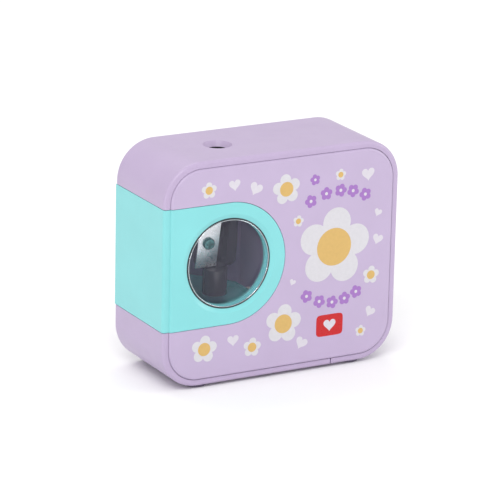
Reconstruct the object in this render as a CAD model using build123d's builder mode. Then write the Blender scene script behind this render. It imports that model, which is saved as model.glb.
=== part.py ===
"""Battery pencil sharpener with a slide-out shavings drawer.

A rounded box stands on four feet. The pencil goes in through a hole in its top, into a cutter that
hangs in the left bay and is turned by a small motor through three pairs of gears. The shavings fall
into a drawer that fills the left side and slides out to the left, with a round window in its front.
Two cells lie under the drawer, behind a door in the base.

Millimetres. +Z is up, the front faces -Y, the drawer leaves along -X. The origin is at the middle of
the box's footprint, on the surface that it stands on.
"""
import os
from math import acos, cos, degrees, pi, radians, sin, tan

from build123d import *

os.makedirs("parts", exist_ok=True)

# ---------------------------------------------------------------- driving dimensions
BODY_WIDTH = 100.0
BODY_HEIGHT = 86.8
FOOT_HEIGHT = 1.2
CORNER_RADIUS = 15.2
FACE_Y = -20.0  # raised face of the front panel and of the drawer
RIM_Y = -19.3  # front rim of the shell
BACK_Y = 20.0
WALL = 2.5
FRONT_EDGE_RADIUS = 1.2
BACK_EDGE_RADIUS = 1.0

BASE_Z = FOOT_HEIGHT
TOP_Z = BASE_Z + BODY_HEIGHT
MIDDLE_Z = BASE_Z + BODY_HEIGHT / 2
LEFT_X = -BODY_WIDTH / 2

# Front panel: stands 0.7 mm proud of the rim, with a rounded edge and a thin gap round it
PANEL_INSET = 2.64
PANEL_BACK_Y = -17.6
PANEL_EDGE_RADIUS = 1.0

# Drawer opening: a band across the left side that ends in a half circle on the front
BAY_BOTTOM_Z = 23.9
BAY_TOP_Z = 71.45
ARC_X = -22.8
ARC_Z = (BAY_BOTTOM_Z + BAY_TOP_Z) / 2
ARC_RADIUS = (BAY_TOP_Z - BAY_BOTTOM_Z) / 2
DRAWER_GAP = 0.2
PARTITION_X = 2.6
PARTITION_THICKNESS = 2.0
SHELF_THICKNESS = 2.0
INNER_BACK_Y = BACK_Y - WALL
INNER_FRONT_Y = PANEL_BACK_Y + 0.2

# Window in the drawer's front
WINDOW_RIM_RADIUS = 19.2
WINDOW_RADIUS = 17.3
WINDOW_EDGE_Y = -19.25
WINDOW_SEAT_Y = -16.9
WINDOW_HOLE_RADIUS = 16.6

# Pencil hole and cutter
PENCIL_X = -18.0
PENCIL_Y = 0.0
PENCIL_HOLE_RADIUS = 4.1
PENCIL_RIM_RADIUS = 5.6
PENCIL_LEAD_IN = 2.0
GUIDE_RADIUS = 6.2
GUIDE_BOTTOM_Z = 82.0
GUIDE_TOP_Z = TOP_Z - PENCIL_LEAD_IN
GUIDE_RING_RADIUS = 7.4
GUIDE_RING_Z = 84.4
GUIDE_GRIP_GAP = 0.02
CONE_HALF_ANGLE = 11.0
CUTTER_BORE_RADIUS = 4.6
HUB_RADIUS = 5.6
CUTTER_BOTTOM_Z = 29.6
PRESS_TRAVEL = 1.0
RUNNING_GAP = 0.05

# Gear train: three pairs of spur gears between two plates
MODULE = 0.6
PINION_TEETH = 12
CUTTER_TEETH = 44
SECOND_TEETH = 34
FIRST_TEETH = 36
PRESSURE_ANGLE = 20.0
TOOTH_THINNING = 0.06
BASE_PLATE_Z = 71.9
BASE_PLATE_THICKNESS = 1.7
COVER_PLATE_Z = 83.9
COVER_PLATE_THICKNESS = 1.3
AXLE_RADIUS = 1.0
AXLE_GAP = 0.03

# Motor
MOTOR_RADIUS = 10.0
MOTOR_HALF_FLAT = 7.6
MOTOR_CAN_LENGTH = 20.5
MOTOR_CAP_LENGTH = 4.4

# Cells and battery bay
CELL_RADIUS = 7.1
CELL_LENGTH = 50.0
CELL_Y = 7.5
CELL_Z = 11.4
BAY_HALF_LENGTH = 28.6
BAY_HALF_DEPTH = 15.8
DOOR_THICKNESS = 2.0
DOOR_GAP = 0.2

# Fasteners and feet
CASE_SCREW_PLACES = [(41.0, 14.8), (41.0, 75.2), (-41.3, 12.8), (-41.3, 76.5)]
CASE_SCREW_SEAT_Y = 14.0
CASE_SCREW_RADIUS = 1.3
CASE_SCREW_HEAD_RADIUS = 2.6
FOOT_RADIUS = 4.0
FOOT_PLACES = [(x, y) for x in (-33.0, 33.0) for y in (-13.6, 13.6)]
FOOT_RECESS = 0.5


# ---------------------------------------------------------------- helpers
def across(y):
    """Vertical plane at depth y that faces the front: sketch X is X, sketch Y is Z."""
    return Plane.XZ.offset(-y)


def level(z):
    """Horizontal plane at height z."""
    return Plane.XY.offset(z)


def block(x_range, y_range, z_range, mode=Mode.ADD):
    """Box between two corners, given as a range along each axis."""
    middle = [(a + b) / 2 for a, b in (x_range, y_range, z_range)]
    size = [b - a for a, b in (x_range, y_range, z_range)]
    with Locations(tuple(middle)):
        Box(*size, mode=mode)


def upright_disc(place, radius, z_range, mode=Mode.ADD):
    """Disc about an upright axis at place, between two heights."""
    with BuildSketch(level(z_range[0])) as disc:
        with Locations(place):
            Circle(radius)
    extrude(disc.sketch, amount=z_range[1] - z_range[0], mode=mode)


def upright_tube(place, outer, inner, z_range):
    """Tube about an upright axis at place, between two heights."""
    upright_disc(place, outer, z_range)
    upright_disc(place, inner, z_range, mode=Mode.SUBTRACT)


def deep_disc(place, radius, y_range, mode=Mode.ADD):
    """Disc about an axis along Y at place (x, z), between two depths."""
    with BuildSketch(across(y_range[1])) as disc:
        with Locations(place):
            Circle(radius)
    extrude(disc.sketch, amount=y_range[1] - y_range[0], mode=mode)


def side_rod(place, radius, x_range, mode=Mode.ADD):
    """Cylinder along X at a (y, z) place."""
    with Locations(((x_range[0] + x_range[1]) / 2, place[0], place[1])):
        Cylinder(radius, x_range[1] - x_range[0], rotation=(0, 90, 0), mode=mode)


def save(builder, name):
    """Label a finished piece and write it as parts/name.step."""
    builder.part.label = name
    export_step(builder.part, f"parts/{name}.step")


# ---------------------------------------------------------------- shared outlines
def body_blank(rounded_back=True):
    """The whole body as a solid, with its rounded corners and edges."""
    with BuildPart() as blank:
        with BuildSketch(across(BACK_Y)):
            with Locations((0, MIDDLE_Z)):
                RectangleRounded(BODY_WIDTH, BODY_HEIGHT, CORNER_RADIUS)
        extrude(amount=BACK_Y - RIM_Y)
        fillet(blank.faces().sort_by(Axis.Y)[0].edges(), FRONT_EDGE_RADIUS)
        if rounded_back:
            fillet(blank.faces().sort_by(Axis.Y)[-1].edges(), BACK_EDGE_RADIUS)
    return blank.part


def raised_plate(back_y):
    """The raised front plate before it is shared between the panel and the drawer."""
    with BuildPart() as plate:
        with BuildSketch(across(back_y)):
            with Locations((0, MIDDLE_Z)):
                RectangleRounded(
                    BODY_WIDTH - 2 * PANEL_INSET,
                    BODY_HEIGHT - 2 * PANEL_INSET,
                    CORNER_RADIUS - PANEL_INSET,
                )
        extrude(amount=back_y - FACE_Y)
        fillet(plate.faces().sort_by(Axis.Y)[0].edges(), PANEL_EDGE_RADIUS)
    return plate.part


def drawer_outline(gap):
    """Band with a half-round end: the drawer's front, smaller than its opening by the gap."""
    straight = ARC_X - LEFT_X + WALL
    with Locations((ARC_X - straight / 2, ARC_Z)):
        Rectangle(straight, 2 * (ARC_RADIUS - gap))
    with Locations((ARC_X, ARC_Z)):
        Circle(ARC_RADIUS - gap)


# ---------------------------------------------------------------- rear shell
SHELF_BOTTOM_Z = BAY_BOTTOM_Z - SHELF_THICKNESS
FLOOR_TOP_Z = BASE_Z + WALL
BOSS_RADIUS = 4.0
BOSS_FRONT_Y = 2.0
HEAD_POCKET_RADIUS = 2.9
SCREW_CLEARANCE_RADIUS = 1.6
BAY_RIB = 1.5
CELL_RIB_Z = 17.0
LEDGE_THICKNESS = 1.6
LEDGE_DEPTH = 2.0
PRY_NOTCH_X = 22.4
PRY_NOTCH_WIDTH = 0.45
DOOR_PIN_RADIUS = 0.8
DOOR_PIN_Y = 17.1
DOOR_PIN_Z = BASE_Z + 1.25
DOOR_LUG_RADIUS = 1.15
DOOR_LUG_X = 15.0
DOOR_LUG_WIDTH = 4.0
DOOR_NOTCH_WIDTH = 4.6
SWITCH_Y = 10.0
SWITCH_Z = 25.9
PLUNGER_RADIUS = 0.7
CONTACT_X = 28.25

with BuildPart() as rear_shell:
    add(body_blank())
    # hollow inside, open at the front
    with BuildSketch(across(INNER_BACK_Y)):
        with Locations((0, MIDDLE_Z)):
            RectangleRounded(BODY_WIDTH - 2 * WALL, BODY_HEIGHT - 2 * WALL, CORNER_RADIUS - WALL)
    extrude(amount=INNER_BACK_Y - RIM_Y, mode=Mode.SUBTRACT)
    # the left side is open where the drawer goes
    block(
        (LEFT_X - 1, LEFT_X + WALL),
        (RIM_Y - 1, BACK_Y + 1),
        (BAY_BOTTOM_Z, BAY_TOP_Z),
        mode=Mode.SUBTRACT,
    )
    # shelf under the drawer, which is also the ceiling of the battery bay
    block(
        (LEFT_X + WALL / 2, BAY_HALF_LENGTH + BAY_RIB),
        (INNER_FRONT_Y, INNER_BACK_Y),
        (SHELF_BOTTOM_Z, BAY_BOTTOM_Z),
    )
    # partition between the cutter bay and the motor space
    block(
        (PARTITION_X, PARTITION_X + PARTITION_THICKNESS),
        (INNER_FRONT_Y, INNER_BACK_Y),
        (SHELF_BOTTOM_Z, BASE_PLATE_Z - 0.1),
    )
    # end walls of the battery bay, and a rib between the cells
    for side in (-1, 1):
        ends = sorted((side * BAY_HALF_LENGTH, side * (BAY_HALF_LENGTH + BAY_RIB)))
        block(ends, (INNER_FRONT_Y, INNER_BACK_Y), (BASE_Z + 1, SHELF_BOTTOM_Z))
    block((-BAY_HALF_LENGTH, BAY_HALF_LENGTH), (-0.6, 0.6), (CELL_RIB_Z, SHELF_BOTTOM_Z))
    # ledge that carries the gearbox at the back
    block(
        (-36.5, 28.0),
        (INNER_BACK_Y - LEDGE_DEPTH, INNER_BACK_Y),
        (BASE_PLATE_Z - LEDGE_THICKNESS - 0.05, BASE_PLATE_Z - 0.05),
    )
    # screw bosses along Y, with a deep pocket for each head in the back
    for place in CASE_SCREW_PLACES:
        deep_disc(place, BOSS_RADIUS, (BOSS_FRONT_Y, INNER_BACK_Y + 0.1))
    for place in CASE_SCREW_PLACES:
        deep_disc(place, HEAD_POCKET_RADIUS, (CASE_SCREW_SEAT_Y, BACK_Y), mode=Mode.SUBTRACT)
        deep_disc(place, SCREW_CLEARANCE_RADIUS, (BOSS_FRONT_Y, BACK_Y), mode=Mode.SUBTRACT)
    # pencil hole: countersunk in the top, with a ring below that holds the black guide
    upright_disc((PENCIL_X, PENCIL_Y), GUIDE_RING_RADIUS, (GUIDE_RING_Z, TOP_Z - WALL + 0.1))
    upright_disc(
        (PENCIL_X, PENCIL_Y),
        GUIDE_RADIUS + GUIDE_GRIP_GAP,
        (GUIDE_RING_Z, GUIDE_TOP_Z),
        mode=Mode.SUBTRACT,
    )
    with Locations((PENCIL_X, PENCIL_Y, TOP_Z - PENCIL_LEAD_IN / 2)):
        Cone(PENCIL_HOLE_RADIUS, PENCIL_RIM_RADIUS, PENCIL_LEAD_IN, mode=Mode.SUBTRACT)
    # battery opening in the base, with notches and pivot holes for the door
    block(
        (-BAY_HALF_LENGTH, BAY_HALF_LENGTH),
        (-BAY_HALF_DEPTH, BAY_HALF_DEPTH),
        (BASE_Z, FLOOR_TOP_Z),
        mode=Mode.SUBTRACT,
    )
    for lug_x in (-DOOR_LUG_X, DOOR_LUG_X):
        block(
            (lug_x - DOOR_NOTCH_WIDTH / 2, lug_x + DOOR_NOTCH_WIDTH / 2),
            (BAY_HALF_DEPTH, DOOR_PIN_Y + 1.6),
            (BASE_Z, BASE_Z + WALL + 1.5),
            mode=Mode.SUBTRACT,
        )
        side_rod(
            (DOOR_PIN_Y, DOOR_PIN_Z),
            DOOR_PIN_RADIUS + RUNNING_GAP,
            (lug_x - 3.6, lug_x + 3.6),
            mode=Mode.SUBTRACT,
        )
    # hole for the drawer switch's plunger, and slots for the tabs of the battery contacts
    side_rod(
        (SWITCH_Y, SWITCH_Z),
        PLUNGER_RADIUS + RUNNING_GAP,
        (PARTITION_X, PARTITION_X + PARTITION_THICKNESS),
        mode=Mode.SUBTRACT,
    )
    for side in (-1, 1):
        block(
            (CONTACT_X - 0.35, CONTACT_X + 0.35),
            (side * CELL_Y - 1.8, side * CELL_Y + 1.8),
            (SHELF_BOTTOM_Z, BAY_BOTTOM_Z),
            mode=Mode.SUBTRACT,
        )
    # recesses for the feet, and the pry notch in the front rim
    for place in FOOT_PLACES:
        upright_disc(
            place, FOOT_RADIUS + RUNNING_GAP, (BASE_Z, BASE_Z + FOOT_RECESS), mode=Mode.SUBTRACT
        )
    block(
        (PRY_NOTCH_X - PRY_NOTCH_WIDTH / 2, PRY_NOTCH_X + PRY_NOTCH_WIDTH / 2),
        (RIM_Y, RIM_Y + 1.6),
        (BASE_Z, FLOOR_TOP_Z),
        mode=Mode.SUBTRACT,
    )
save(rear_shell, "rear_shell")

# ---------------------------------------------------------------- pencil guide
with BuildPart() as pencil_guide:
    upright_tube(
        (PENCIL_X, PENCIL_Y),
        GUIDE_RADIUS,
        PENCIL_HOLE_RADIUS,
        (GUIDE_BOTTOM_Z, GUIDE_TOP_Z - GUIDE_GRIP_GAP),
    )
save(pencil_guide, "pencil_guide")

# ---------------------------------------------------------------- front panel
POST_RADIUS = 3.2
POST_BACK_Y = BOSS_FRONT_Y - 0.1
POST_HOLE_FRONT_Y = -12.0

with BuildPart() as front_panel:
    add(raised_plate(PANEL_BACK_Y))
    with BuildSketch(across(PANEL_BACK_Y)):
        drawer_outline(0)
    extrude(amount=PANEL_BACK_Y - FACE_Y, mode=Mode.SUBTRACT)
    for place in CASE_SCREW_PLACES:
        deep_disc(place, POST_RADIUS, (PANEL_BACK_Y - 0.1, POST_BACK_Y))
    for place in CASE_SCREW_PLACES:
        deep_disc(
            place, CASE_SCREW_RADIUS + 0.01, (POST_HOLE_FRONT_Y, POST_BACK_Y), mode=Mode.SUBTRACT
        )
save(front_panel, "front_panel")

# ---------------------------------------------------------------- case screws
SCREW_TIP_Y = -9.0
SCREW_HEAD_HEIGHT = 1.8
CROSS_WIDTH = 0.7
CROSS_LENGTH = 3.0
CROSS_DEPTH = 1.0

with BuildPart() as case_screws:
    for place in CASE_SCREW_PLACES:
        head_top = CASE_SCREW_SEAT_Y + SCREW_HEAD_HEIGHT
        deep_disc(place, CASE_SCREW_RADIUS, (SCREW_TIP_Y, CASE_SCREW_SEAT_Y + 0.1))
        deep_disc(place, CASE_SCREW_HEAD_RADIUS, (CASE_SCREW_SEAT_Y, head_top))
        with BuildSketch(across(head_top)):
            with Locations(place):
                Rectangle(CROSS_WIDTH, CROSS_LENGTH)
                Rectangle(CROSS_LENGTH, CROSS_WIDTH)
        extrude(amount=CROSS_DEPTH, mode=Mode.SUBTRACT)
save(case_screws, "case_screws")

# ---------------------------------------------------------------- feet
with BuildPart() as feet:
    for place in FOOT_PLACES:
        upright_disc(place, FOOT_RADIUS, (0, FOOT_HEIGHT + FOOT_RECESS))
    fillet(feet.faces().group_by(Axis.Z)[0].edges(), 0.3)
save(feet, "feet")

# ---------------------------------------------------------------- drawer
DRAWER_FRONT_BACK_Y = -17.4
DRAWER_SIDE = 2.2
DRAWER_FLOOR = 1.2
DRAWER_RIGHT_X = 0.4
DRAWER_BACK_Y = 17.3
DRAWER_BACK_WALL = 1.4
DRAWER_SILL_WIDTH = 1.2
DRAWER_SILL_TOP_Z = 26.9
DRAWER_SLOPE_TOP_Z = 40.8
DRAWER_BOTTOM_Z = BAY_BOTTOM_Z + DRAWER_GAP
SEAT_RING_RADIUS = 18.6
SEAT_RING_BACK_Y = -15.9


def drawer_front():
    """The drawer's share of the raised plate."""
    with BuildPart() as front:
        add(raised_plate(DRAWER_FRONT_BACK_Y))
        with BuildSketch(across(DRAWER_FRONT_BACK_Y)):
            drawer_outline(DRAWER_GAP)
        extrude(amount=DRAWER_FRONT_BACK_Y - FACE_Y, mode=Mode.INTERSECT)
    return front.part


with BuildPart() as drawer:
    # left side, with the body's rim along its front, flush with the shell
    add(body_blank(rounded_back=False))
    block(
        (LEFT_X, LEFT_X + PANEL_INSET + 2.0),
        (RIM_Y, BACK_Y),
        (DRAWER_BOTTOM_Z, BAY_TOP_Z - DRAWER_GAP),
        mode=Mode.INTERSECT,
    )
    block(
        (LEFT_X + DRAWER_SIDE, LEFT_X + PANEL_INSET + 2.0),
        (DRAWER_FRONT_BACK_Y, BACK_Y),
        (DRAWER_BOTTOM_Z, BAY_TOP_Z - DRAWER_GAP),
        mode=Mode.SUBTRACT,
    )
    # raised front with the half-round end
    add(drawer_front())
    # floor, sloping back wall and the low sill on the right
    block(
        (LEFT_X + DRAWER_SIDE / 2, DRAWER_RIGHT_X),
        (DRAWER_FRONT_BACK_Y, DRAWER_BACK_Y),
        (DRAWER_BOTTOM_Z, DRAWER_BOTTOM_Z + DRAWER_FLOOR),
    )
    with BuildSketch(across(DRAWER_BACK_Y)):
        with BuildLine():
            Polyline(
                (LEFT_X + DRAWER_SIDE / 2, DRAWER_BOTTOM_Z),
                (DRAWER_RIGHT_X, DRAWER_BOTTOM_Z),
                (DRAWER_RIGHT_X, DRAWER_SILL_TOP_Z),
                (LEFT_X + DRAWER_SIDE / 2, DRAWER_SLOPE_TOP_Z),
                close=True,
            )
        make_face()
    extrude(amount=DRAWER_BACK_WALL)
    block(
        (DRAWER_RIGHT_X - DRAWER_SILL_WIDTH, DRAWER_RIGHT_X),
        (DRAWER_FRONT_BACK_Y, DRAWER_BACK_Y),
        (DRAWER_BOTTOM_Z, DRAWER_SILL_TOP_Z),
    )
    # window: ring behind the front, sloping rim, pocket for the lens and the hole behind it
    deep_disc((ARC_X, ARC_Z), SEAT_RING_RADIUS, (DRAWER_FRONT_BACK_Y - 0.1, SEAT_RING_BACK_Y))
    deep_disc((ARC_X, ARC_Z), WINDOW_HOLE_RADIUS, (FACE_Y, SEAT_RING_BACK_Y), mode=Mode.SUBTRACT)
    deep_disc(
        (ARC_X, ARC_Z), WINDOW_RADIUS + RUNNING_GAP, (FACE_Y, WINDOW_SEAT_Y), mode=Mode.SUBTRACT
    )
    with Locations((ARC_X, (FACE_Y + WINDOW_EDGE_Y) / 2, ARC_Z)):
        Cone(
            WINDOW_RADIUS + RUNNING_GAP,
            WINDOW_RIM_RADIUS,
            WINDOW_EDGE_Y - FACE_Y,
            rotation=(90, 0, 0),
            mode=Mode.SUBTRACT,
        )
save(drawer, "drawer")

# ---------------------------------------------------------------- window lens
LENS_BACK_Y = WINDOW_SEAT_Y - 0.02
LENS_APEX_Y = -19.95
LENS_SHOULDER_RADIUS = 16.4
LENS_SHOULDER_Y = -19.5
LENS_EDGE_FRONT_Y = -18.9
LENS_EDGE_BULGE = (17.04, -19.32)
LENS_HOLLOW_RADIUS = 16.3
LENS_HOLLOW_APEX_Y = -18.4


def dome_radius(half_width, rise):
    """Radius of the sphere that rises by this much over this half width."""
    return (half_width**2 + rise**2) / (2 * rise)


with BuildPart() as window_lens:
    with BuildSketch(Plane.XY):
        with BuildLine():
            RadiusArc(
                (0, LENS_HOLLOW_APEX_Y),
                (LENS_HOLLOW_RADIUS, LENS_BACK_Y),
                -dome_radius(LENS_HOLLOW_RADIUS, LENS_BACK_Y - LENS_HOLLOW_APEX_Y),
            )
            Line((LENS_HOLLOW_RADIUS, LENS_BACK_Y), (WINDOW_RADIUS, LENS_BACK_Y))
            Line((WINDOW_RADIUS, LENS_BACK_Y), (WINDOW_RADIUS, LENS_EDGE_FRONT_Y))
            ThreePointArc(
                (WINDOW_RADIUS, LENS_EDGE_FRONT_Y),
                LENS_EDGE_BULGE,
                (LENS_SHOULDER_RADIUS, LENS_SHOULDER_Y),
            )
            RadiusArc(
                (0, LENS_APEX_Y),
                (LENS_SHOULDER_RADIUS, LENS_SHOULDER_Y),
                -dome_radius(LENS_SHOULDER_RADIUS, LENS_SHOULDER_Y - LENS_APEX_Y),
            )
            Line((0, LENS_APEX_Y), (0, LENS_HOLLOW_APEX_Y))
        make_face()
    revolve(axis=Axis.Y)
window_lens.part = window_lens.part.moved(Location((ARC_X, 0, ARC_Z)))
save(window_lens, "window_lens")

# ---------------------------------------------------------------- gear train
PITCH_FACTOR = MODULE / 2
PINION_RADIUS = PINION_TEETH * PITCH_FACTOR
CUTTER_MESH = (CUTTER_TEETH + PINION_TEETH) * PITCH_FACTOR
SECOND_MESH = (SECOND_TEETH + PINION_TEETH) * PITCH_FACTOR
FIRST_MESH = (FIRST_TEETH + PINION_TEETH) * PITCH_FACTOR
SECOND_BEARING = 18.0  # direction from one gear's axis to the next, degrees from +X
FIRST_BEARING = -35.0
MOTOR_BEARING = 10.0
WHEEL_ADDENDUM = 0.75
PINION_ADDENDUM = 0.95
DEDENDUM = 1.25


def step_from(place, distance, bearing):
    """The point at this distance and direction from place."""
    return (
        place[0] + distance * cos(radians(bearing)),
        place[1] + distance * sin(radians(bearing)),
    )


CUTTER_AXIS = (PENCIL_X, PENCIL_Y)
SECOND_AXIS = step_from(CUTTER_AXIS, CUTTER_MESH, SECOND_BEARING)
FIRST_AXIS = step_from(SECOND_AXIS, SECOND_MESH, FIRST_BEARING)
MOTOR_AXIS = step_from(FIRST_AXIS, FIRST_MESH, MOTOR_BEARING)


def meshed_phase(phase, teeth, bearing, next_teeth):
    """Angle of a tooth on the next gear, so that it fits the gaps of the one before."""
    return bearing + 180 - (teeth * (phase - bearing) - 180) / next_teeth


def involute(angle):
    return tan(angle) - angle


def half_tooth_angle(radius, teeth):
    """Half of a tooth's width at this radius, as an angle at the gear's axis."""
    pitch_radius = teeth * PITCH_FACTOR
    base_radius = pitch_radius * cos(radians(PRESSURE_ANGLE))
    at_pitch = pi / (2 * teeth) - TOOTH_THINNING / (2 * pitch_radius)
    pressure = acos(min(1.0, base_radius / max(radius, base_radius)))
    return at_pitch + involute(radians(PRESSURE_ANGLE)) - involute(pressure)


def tooth_outline(teeth, addendum):
    """Corner points of one tooth on the +X axis, from inside the root to the tip and back."""
    pitch_radius = teeth * PITCH_FACTOR
    root_radius = pitch_radius - DEDENDUM * MODULE
    tip_radius = pitch_radius + addendum * MODULE
    steps = 5
    radii = [root_radius - 0.2]
    radii += [root_radius + (tip_radius - root_radius) * i / steps for i in range(steps + 1)]
    flank = [(r, half_tooth_angle(r, teeth)) for r in radii]
    lower = [(r * cos(a), -r * sin(a)) for r, a in flank]
    upper = [(r * cos(a), r * sin(a)) for r, a in reversed(flank)]
    return lower + upper


def toothed_wheel(place, teeth, addendum, phase, z_range):
    """Spur wheel with a full web, about an upright axis at place."""
    with BuildSketch(level(z_range[0])) as outline:
        with Locations(place):
            Circle(teeth * PITCH_FACTOR - DEDENDUM * MODULE)
        with BuildLine():
            Polyline(*tooth_outline(teeth, addendum), close=True)
        tooth = make_face(mode=Mode.PRIVATE)
        with Locations(place):
            with PolarLocations(0, teeth, start_angle=phase):
                add(tooth)
    extrude(outline.sketch, amount=z_range[1] - z_range[0])


CUTTER_PHASE = 0.0
SECOND_PHASE = meshed_phase(CUTTER_PHASE, CUTTER_TEETH, SECOND_BEARING, PINION_TEETH)
FIRST_PHASE = meshed_phase(SECOND_PHASE, SECOND_TEETH, FIRST_BEARING, PINION_TEETH)
MOTOR_PHASE = meshed_phase(FIRST_PHASE, FIRST_TEETH, MOTOR_BEARING, PINION_TEETH)

FIRST_WHEEL_Z = (74.2, 76.8)
SECOND_WHEEL_Z = (77.6, 79.8)
CUTTER_WHEEL_Z = (81.2, 83.4)
MOTOR_PINION_Z = (74.0, 77.2)
PLATE_TOP_Z = BASE_PLATE_Z + BASE_PLATE_THICKNESS
GEAR_LOW_Z = PLATE_TOP_Z + 0.15
GEAR_HIGH_Z = COVER_PLATE_Z - 0.15

with BuildPart() as first_reduction_gear:
    toothed_wheel(FIRST_AXIS, FIRST_TEETH, WHEEL_ADDENDUM, FIRST_PHASE, FIRST_WHEEL_Z)
    toothed_wheel(
        FIRST_AXIS, PINION_TEETH, PINION_ADDENDUM, FIRST_PHASE, (FIRST_WHEEL_Z[1], 80.0)
    )
    upright_disc(FIRST_AXIS, 2.4, (GEAR_LOW_Z, FIRST_WHEEL_Z[0]))
    upright_disc(FIRST_AXIS, 1.9, (80.0, GEAR_HIGH_Z))
    upright_disc(FIRST_AXIS, AXLE_RADIUS + AXLE_GAP, (GEAR_LOW_Z, GEAR_HIGH_Z), mode=Mode.SUBTRACT)
save(first_reduction_gear, "first_reduction_gear")

with BuildPart() as second_reduction_gear:
    toothed_wheel(SECOND_AXIS, SECOND_TEETH, WHEEL_ADDENDUM, SECOND_PHASE, SECOND_WHEEL_Z)
    toothed_wheel(
        SECOND_AXIS, PINION_TEETH, PINION_ADDENDUM, SECOND_PHASE, (SECOND_WHEEL_Z[1], 83.5)
    )
    upright_disc(SECOND_AXIS, 2.0, (GEAR_LOW_Z, SECOND_WHEEL_Z[0]))
    upright_disc(SECOND_AXIS, 1.9, (83.5, GEAR_HIGH_Z))
    upright_disc(SECOND_AXIS, AXLE_RADIUS + AXLE_GAP, (GEAR_LOW_Z, GEAR_HIGH_Z), mode=Mode.SUBTRACT)
save(second_reduction_gear, "second_reduction_gear")

HUB_BOTTOM_Z = 68.0
SHOULDER_RADIUS = 7.0
SHOULDER_Z = (76.6, 77.2)
GUIDE_RECESS_Z = GUIDE_BOTTOM_Z - 0.1

with BuildPart() as cutter_gear:
    toothed_wheel(CUTTER_AXIS, CUTTER_TEETH, WHEEL_ADDENDUM, CUTTER_PHASE, CUTTER_WHEEL_Z)
    upright_disc(CUTTER_AXIS, HUB_RADIUS, (HUB_BOTTOM_Z, CUTTER_WHEEL_Z[0] + 0.1))
    upright_disc(CUTTER_AXIS, SHOULDER_RADIUS, SHOULDER_Z)
    upright_disc(
        CUTTER_AXIS, CUTTER_BORE_RADIUS, (HUB_BOTTOM_Z, CUTTER_WHEEL_Z[1]), mode=Mode.SUBTRACT
    )
    upright_disc(
        CUTTER_AXIS,
        GUIDE_RADIUS + RUNNING_GAP,
        (GUIDE_RECESS_Z, CUTTER_WHEEL_Z[1]),
        mode=Mode.SUBTRACT,
    )
save(cutter_gear, "cutter_gear")

with BuildPart() as gear_axles:
    for axis in (FIRST_AXIS, SECOND_AXIS):
        top_z = COVER_PLATE_Z + COVER_PLATE_THICKNESS - 0.1
        upright_disc(axis, AXLE_RADIUS, (BASE_PLATE_Z + 0.1, top_z))
save(gear_axles, "gear_axles")

# ---------------------------------------------------------------- gearbox plates
PLATE_X = (-36.5, 36.0)
PLATE_Y = (-16.6, 17.3)
PILLAR_PLACES = [(x, y) for x in (-33.4, 33.2) for y in (-13.4, 13.4)]
PILLAR_RADIUS = 2.5
PLATE_SCREW_RADIUS = 1.0
PLATE_SCREW_HEAD_RADIUS = 2.0
PLATE_SCREW_TIP_Z = 77.0
SOCKET_WALL = 1.4
SOCKET_DEPTH = 9.0
MOTOR_BOSS_RADIUS = 3.05
GUIDE_CLEARANCE_RADIUS = GUIDE_RING_RADIUS + 0.6
WIRE_RADIUS = 0.6
START_WIRE_PLACES = [(6.2, 13.0), (9.4, 13.0)]


def motor_outline(margin):
    """Round motor with two flats, grown by the margin."""
    with BuildSketch(level(0)) as outline:
        with Locations(MOTOR_AXIS):
            Circle(MOTOR_RADIUS + margin)
            Rectangle(
                3 * MOTOR_RADIUS, 2 * (MOTOR_HALF_FLAT + margin), mode=Mode.INTERSECT
            )
    return outline.sketch


def motor_prism(margin, z_range, mode=Mode.ADD):
    """Prism of the motor's outline between two heights."""
    outline = motor_outline(margin).moved(Location((0, 0, z_range[0])))
    extrude(outline, amount=z_range[1] - z_range[0], mode=mode)


with BuildPart() as gearbox_base:
    block(PLATE_X, PLATE_Y, (BASE_PLATE_Z, PLATE_TOP_Z))
    # pillars that carry the cover
    for place in PILLAR_PLACES:
        upright_disc(place, PILLAR_RADIUS, (PLATE_TOP_Z - 0.1, COVER_PLATE_Z - 0.01))
        upright_disc(
            place,
            PLATE_SCREW_RADIUS + 0.01,
            (PLATE_SCREW_TIP_Z - 1, COVER_PLATE_Z),
            mode=Mode.SUBTRACT,
        )
    # socket that grips the motor
    motor_prism(SOCKET_WALL, (BASE_PLATE_Z - SOCKET_DEPTH, BASE_PLATE_Z + 0.1))
    motor_prism(RUNNING_GAP, (BASE_PLATE_Z - SOCKET_DEPTH, BASE_PLATE_Z), mode=Mode.SUBTRACT)
    # holes: motor boss, cutter hub, axles and wires
    upright_disc(
        MOTOR_AXIS, MOTOR_BOSS_RADIUS + 0.1, (BASE_PLATE_Z, PLATE_TOP_Z), mode=Mode.SUBTRACT
    )
    upright_disc(
        CUTTER_AXIS, HUB_RADIUS + RUNNING_GAP, (BASE_PLATE_Z, PLATE_TOP_Z), mode=Mode.SUBTRACT
    )
    for axis in (FIRST_AXIS, SECOND_AXIS):
        upright_disc(axis, AXLE_RADIUS + 0.01, (BASE_PLATE_Z, PLATE_TOP_Z), mode=Mode.SUBTRACT)
    for place in START_WIRE_PLACES:
        upright_disc(place, WIRE_RADIUS + 0.3, (BASE_PLATE_Z, PLATE_TOP_Z), mode=Mode.SUBTRACT)
save(gearbox_base, "gearbox_base")

COVER_TOP_Z = COVER_PLATE_Z + COVER_PLATE_THICKNESS
SCREW_CONE_Z = COVER_TOP_Z - 1.0

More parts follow.
